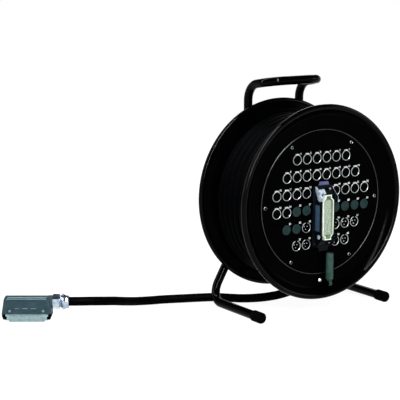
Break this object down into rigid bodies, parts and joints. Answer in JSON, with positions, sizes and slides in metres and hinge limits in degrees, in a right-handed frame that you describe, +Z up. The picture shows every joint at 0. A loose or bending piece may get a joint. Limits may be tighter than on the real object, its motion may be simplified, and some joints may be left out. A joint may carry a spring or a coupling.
{
  "type": "multicore cable drum",
  "caption": "Steel cable drum on a bent tube stand, with a front panel of round audio connectors and a multi-pole connector, a folding crank, and a cord ending in a multi-pole hood.",
  "frame": {"origin": "on the floor, below the middle of the stand and drum, at the centre of their bounding box", "axes": "+Z up, -Y the way the connector panel faces, +X to the right seen from the panel side; the cord leaves to -X"},
  "size_m": [0.9482, 0.3897, 0.5729],
  "materials": {
    "black_lacquer": "semi-gloss stove enamel",
    "black_rubber": "matt moulded rubber",
    "cord_jacket": "satin rubber jacket",
    "zinc_plate": "bright zinc plate",
    "bronze_bush": "plain sintered bronze",
    "black_panel": "satin black anodised sheet",
    "black_shell": "fine-grained black moulding",
    "housing_blue": "grey-blue die-cast, satin",
    "cream_insert": "pale cream-green moulding",
    "lever_blue": "bright pressed steel",
    "grey_grip": "grey-green moulded grip",
    "hood_blue": "grey-blue powder coat, fine texture",
    "pale_insert": "pale grey moulding",
    "nickel": "nickel plate"
  },
  "bodies": {
    "stand": {"frame_tube": "black_lacquer", "foot_cap_left": "black_rubber", "foot_cap_right": "black_rubber", "cord_free": "cord_jacket", "hub_bracket": "black_lacquer", "axle": "zinc_plate", "axle_nut": "zinc_plate", "hood_shell": "hood_blue", "hood_insert": "pale_insert", "gland_body": "nickel", "gland_nut": "nickel"},
    "drum": {"front_flange": "black_lacquer", "rear_flange": "black_lacquer", "drum_core": "black_lacquer", "bush_rear": "bronze_bush", "bush_front": "bronze_bush", "cable_core": "cord_jacket", "cable_winding": "cord_jacket", "connector_panel": "black_panel", "pin_connector_1": "black_shell", "pin_connector_2": "black_shell", "pin_connector_3": "black_shell", "pin_connector_4": "black_shell", "pin_connector_5": "black_shell", "pin_connector_6": "black_shell", "pin_connector_7": "black_shell", "pin_connector_8": "black_shell", "housing_seal": "black_rubber", "multipole_housing": "housing_blue", "multipole_insert": "cream_insert", "crank_base": "black_lacquer"},
    "brake": {"brake_knob": "black_shell"},
    "upper_lever": {"lever_top": "lever_blue"},
    "lower_lever": {"lever_bottom": "lever_blue"},
    "crank_arm": {"crank_knuckle": "grey_grip"},
    "crank_handle": {"crank_grip": "grey_grip"},
    "latch_1": {"push_latch_1": "zinc_plate"},
    "latch_2": {"push_latch_2": "zinc_plate"},
    "latch_3": {"push_latch_3": "zinc_plate"},
    "latch_4": {"push_latch_4": "zinc_plate"},
    "latch_5": {"push_latch_5": "zinc_plate"},
    "latch_6": {"push_latch_6": "zinc_plate"},
    "latch_7": {"push_latch_7": "zinc_plate"},
    "latch_8": {"push_latch_8": "zinc_plate"},
    "latch_9": {"push_latch_9": "zinc_plate"},
    "latch_10": {"push_latch_10": "zinc_plate"},
    "latch_11": {"push_latch_11": "zinc_plate"},
    "latch_12": {"push_latch_12": "zinc_plate"},
    "latch_13": {"push_latch_13": "zinc_plate"},
    "latch_14": {"push_latch_14": "zinc_plate"},
    "latch_15": {"push_latch_15": "zinc_plate"},
    "latch_16": {"push_latch_16": "zinc_plate"},
    "latch_17": {"push_latch_17": "zinc_plate"},
    "latch_18": {"push_latch_18": "zinc_plate"},
    "latch_19": {"push_latch_19": "zinc_plate"},
    "latch_20": {"push_latch_20": "zinc_plate"},
    "latch_21": {"push_latch_21": "zinc_plate"},
    "latch_22": {"push_latch_22": "zinc_plate"},
    "latch_23": {"push_latch_23": "zinc_plate"},
    "latch_24": {"push_latch_24": "zinc_plate"}
  },
  "joints": [
    {"name": "drum_spin", "type": "hinge", "parent": "stand", "child": "drum", "pos_m": [0, -0.0099, 0.272], "axis": [0, 1, 0], "continuous": true, "deforming": ["cord_free"]},
    {"name": "brake_turn", "type": "hinge", "parent": "stand", "child": "brake", "pos_m": [0, 0.1201, 0.324], "axis": [0, 1, 0], "range_deg": [0, 180]},
    {"name": "lever_top_swing", "type": "hinge", "parent": "drum", "child": "upper_lever", "pos_m": [0, -0.1189, 0.285], "axis": [1, 0, 0], "range_deg": [0, 80]},
    {"name": "lever_bottom_swing", "type": "hinge", "parent": "drum", "child": "lower_lever", "pos_m": [0, -0.1189, 0.191], "axis": [-1, 0, 0], "range_deg": [0, 80]},
    {"name": "crank_fold", "type": "hinge", "parent": "drum", "child": "crank_arm", "pos_m": [0.02, -0.1067, 0.068], "axis": [1, 0, 0], "range_deg": [0, 90]},
    {"name": "grip_spin", "type": "hinge", "parent": "crank_arm", "child": "crank_handle", "pos_m": [0.02, -0.1067, 0.11], "axis": [0, 0, 1], "continuous": true},
    {"name": "latch_1_push", "type": "slide", "parent": "drum", "child": "latch_1", "axis": [0, 1, 0], "range_m": [0, 0.0015], "stiffness_N_per_m": 400},
    {"name": "latch_2_push", "type": "slide", "parent": "drum", "child": "latch_2", "axis": [0, 1, 0], "range_m": [0, 0.0015], "stiffness_N_per_m": 400},
    {"name": "latch_3_push", "type": "slide", "parent": "drum", "child": "latch_3", "axis": [0, 1, 0], "range_m": [0, 0.0015], "stiffness_N_per_m": 400},
    {"name": "latch_4_push", "type": "slide", "parent": "drum", "child": "latch_4", "axis": [0, 1, 0], "range_m": [0, 0.0015], "stiffness_N_per_m": 400},
    {"name": "latch_5_push", "type": "slide", "parent": "drum", "child": "latch_5", "axis": [0, 1, 0], "range_m": [0, 0.0015], "stiffness_N_per_m": 400},
    {"name": "latch_6_push", "type": "slide", "parent": "drum", "child": "latch_6", "axis": [0, 1, 0], "range_m": [0, 0.0015], "stiffness_N_per_m": 400},
    {"name": "latch_7_push", "type": "slide", "parent": "drum", "child": "latch_7", "axis": [0, 1, 0], "range_m": [0, 0.0015], "stiffness_N_per_m": 400},
    {"name": "latch_8_push", "type": "slide", "parent": "drum", "child": "latch_8", "axis": [0, 1, 0], "range_m": [0, 0.0015], "stiffness_N_per_m": 400},
    {"name": "latch_9_push", "type": "slide", "parent": "drum", "child": "latch_9", "axis": [0, 1, 0], "range_m": [0, 0.0015], "stiffness_N_per_m": 400},
    {"name": "latch_10_push", "type": "slide", "parent": "drum", "child": "latch_10", "axis": [0, 1, 0], "range_m": [0, 0.0015], "stiffness_N_per_m": 400},
    {"name": "latch_11_push", "type": "slide", "parent": "drum", "child": "latch_11", "axis": [0, 1, 0], "range_m": [0, 0.0015], "stiffness_N_per_m": 400},
    {"name": "latch_12_push", "type": "slide", "parent": "drum", "child": "latch_12", "axis": [0, 1, 0], "range_m": [0, 0.0015], "stiffness_N_per_m": 400},
    {"name": "latch_13_push", "type": "slide", "parent": "drum", "child": "latch_13", "axis": [0, 1, 0], "range_m": [0, 0.0015], "stiffness_N_per_m": 400},
    {"name": "latch_14_push", "type": "slide", "parent": "drum", "child": "latch_14", "axis": [0, 1, 0], "range_m": [0, 0.0015], "stiffness_N_per_m": 400},
    {"name": "latch_15_push", "type": "slide", "parent": "drum", "child": "latch_15", "axis": [0, 1, 0], "range_m": [0, 0.0015], "stiffness_N_per_m": 400},
    {"name": "latch_16_push", "type": "slide", "parent": "drum", "child": "latch_16", "axis": [0, 1, 0], "range_m": [0, 0.0015], "stiffness_N_per_m": 400},
    {"name": "latch_17_push", "type": "slide", "parent": "drum", "child": "latch_17", "axis": [0, 1, 0], "range_m": [0, 0.0015], "stiffness_N_per_m": 400},
    {"name": "latch_18_push", "type": "slide", "parent": "drum", "child": "latch_18", "axis": [0, 1, 0], "range_m": [0, 0.0015], "stiffness_N_per_m": 400},
    {"name": "latch_19_push", "type": "slide", "parent": "drum", "child": "latch_19", "axis": [0, 1, 0], "range_m": [0, 0.0015], "stiffness_N_per_m": 400},
    {"name": "latch_20_push", "type": "slide", "parent": "drum", "child": "latch_20", "axis": [0, 1, 0], "range_m": [0, 0.0015], "stiffness_N_per_m": 400},
    {"name": "latch_21_push", "type": "slide", "parent": "drum", "child": "latch_21", "axis": [0, 1, 0], "range_m": [0, 0.0015], "stiffness_N_per_m": 400},
    {"name": "latch_22_push", "type": "slide", "parent": "drum", "child": "latch_22", "axis": [0, 1, 0], "range_m": [0, 0.0015], "stiffness_N_per_m": 400},
    {"name": "latch_23_push", "type": "slide", "parent": "drum", "child": "latch_23", "axis": [0, 1, 0], "range_m": [0, 0.0015], "stiffness_N_per_m": 400},
    {"name": "latch_24_push", "type": "slide", "parent": "drum", "child": "latch_24", "axis": [0, 1, 0], "range_m": [0, 0.0015], "stiffness_N_per_m": 400}
  ]
}
